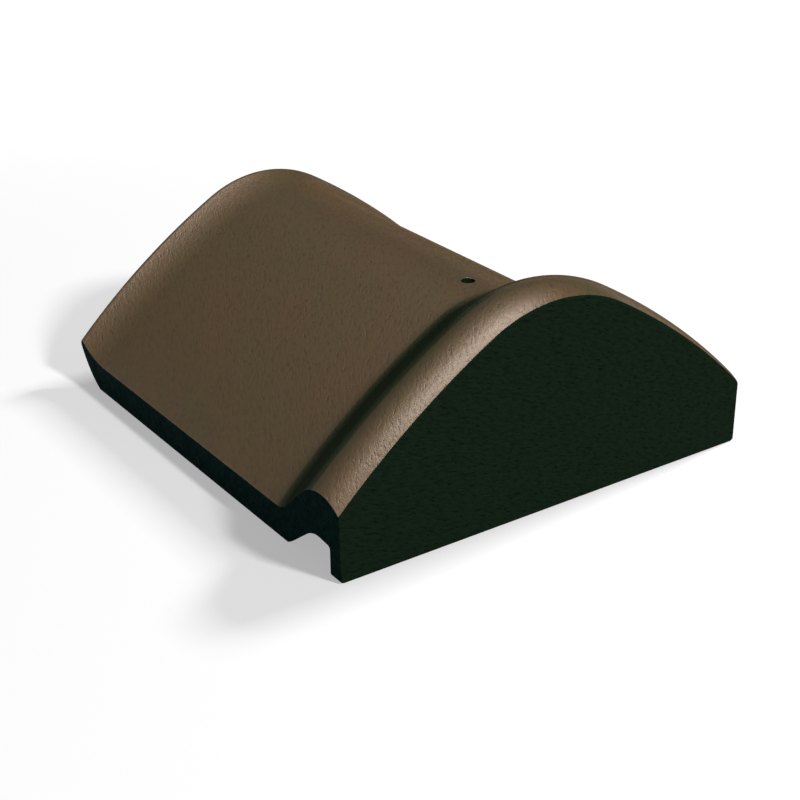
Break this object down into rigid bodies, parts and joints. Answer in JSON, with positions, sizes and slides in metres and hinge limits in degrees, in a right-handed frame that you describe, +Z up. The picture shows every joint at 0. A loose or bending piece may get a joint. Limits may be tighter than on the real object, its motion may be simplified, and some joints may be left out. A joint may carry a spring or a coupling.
{
  "type": "ridge end tile",
  "caption": "Moulded concrete ridge tile with an arched barrel, a flared open end, a raised bead and a closed end plate, for finishing the end of a roof ridge.",
  "frame": {"origin": "centre of the rectangle that the tile covers, at the level it rests on", "axes": "+X along the ridge towards the closed end, +Y across the ridge, +Z up"},
  "size_m": [0.279, 0.25, 0.1146],
  "materials": {
    "brown_concrete": "fine-grained moulded concrete with a brown surface coat, low sheen"
  },
  "bodies": {
    "root": {"ridge_end_tile": "brown_concrete"}
  },
  "joints": []
}
